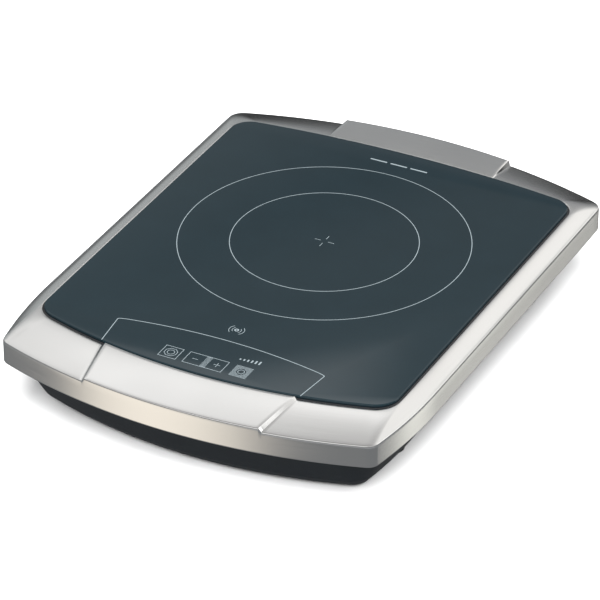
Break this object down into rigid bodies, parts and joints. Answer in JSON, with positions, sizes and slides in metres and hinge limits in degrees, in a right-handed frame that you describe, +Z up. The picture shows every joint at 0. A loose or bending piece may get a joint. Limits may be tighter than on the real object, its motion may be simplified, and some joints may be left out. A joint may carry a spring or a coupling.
{
  "type": "portable induction cooktop",
  "caption": "Flat portable electric induction cooktop: dark ceramic glass in a brushed steel frame with raised grips, tapered plastic base on rubber feet, cooling fan inside.",
  "frame": {"origin": "on the surface the feet stand on, under the middle of the outline", "axes": "+Z up, +Y towards the back, where the cord inlet is, +X to the right as the cook sees it"},
  "size_m": [0.3174, 0.4273, 0.068],
  "materials": {
    "brushed_steel": "fine satin brushed stainless steel",
    "ceramic_glass": "smooth dark ceramic glass with printed light grey lines",
    "seal_silicone": "satin silicone",
    "base_plastic": "fine textured moulded plastic",
    "foot_rubber": "matt rubber",
    "screw_steel": "zinc plated steel",
    "bracket_steel": "plain steel sheet",
    "copper_litz": "enamelled copper strand",
    "mica": "mica sheet",
    "carrier_plastic": "glass filled plastic",
    "ferrite": "sintered ferrite",
    "aluminium": "mill finish aluminium",
    "circuit_board": "green circuit board",
    "component_black": "moulded component case",
    "component_grey": "moulded component case",
    "component_yellow": "glossy film capacitor case",
    "fuse_glass": "glass tube",
    "lead_red": "silicone insulation",
    "lead_grey": "flat cable insulation",
    "fan_plastic": "moulded fan plastic",
    "bearing_brass": "sintered bronze",
    "spring_steel": "spring wire",
    "lamp_red": "clear red lamp body"
  },
  "bodies": {
    "casing": {"top_frame": "brushed_steel", "glass_plate": "ceramic_glass", "glass_seal": "seal_silicone", "base_tub": "base_plastic", "foot_left_front": "foot_rubber", "foot_left_rear": "foot_rubber", "foot_right_front": "foot_rubber", "foot_right_rear": "foot_rubber", "foot_screws": "screw_steel", "case_screws": "screw_steel", "frame_brackets": "bracket_steel", "induction_coil": "copper_litz", "mica_sheet": "mica", "coil_carrier": "carrier_plastic", "ferrite_bars": "ferrite", "sensor_holder": "carrier_plastic", "temperature_sensor": "component_grey", "coil_springs": "spring_steel", "shield_plate": "aluminium", "shield_screws": "screw_steel", "power_board": "circuit_board", "board_screws": "screw_steel", "heat_sink": "aluminium", "power_transistor": "component_black", "bridge_rectifier": "component_black", "resonance_capacitor": "component_yellow", "smoothing_capacitor": "component_yellow", "interference_capacitor": "component_yellow", "relay_block": "component_grey", "filter_choke": "copper_litz", "fuse_holder": "component_black", "fuse": "fuse_glass", "buzzer": "component_black", "terminal_block": "component_grey", "coil_leads": "lead_red", "supply_leads": "lead_red", "touch_board": "circuit_board", "touch_board_holder": "component_black", "touch_springs": "spring_steel", "indicator_lamps": "lamp_red", "ribbon_cable": "lead_grey", "fan_housing": "fan_plastic", "fan_bearing": "bearing_brass", "fan_stator": "bracket_steel", "stator_windings": "copper_litz", "fan_screws": "screw_steel", "air_baffle": "carrier_plastic", "cord_gland": "component_black"},
    "fan_rotor": {"fan_impeller": "fan_plastic", "fan_magnet_ring": "ferrite", "fan_shaft": "spring_steel"}
  },
  "joints": [
    {"name": "fan_spin", "type": "hinge", "parent": "casing", "child": "fan_rotor", "pos_m": [-0.058, 0.082, 0.015], "axis": [0, 0, 1], "continuous": true}
  ]
}
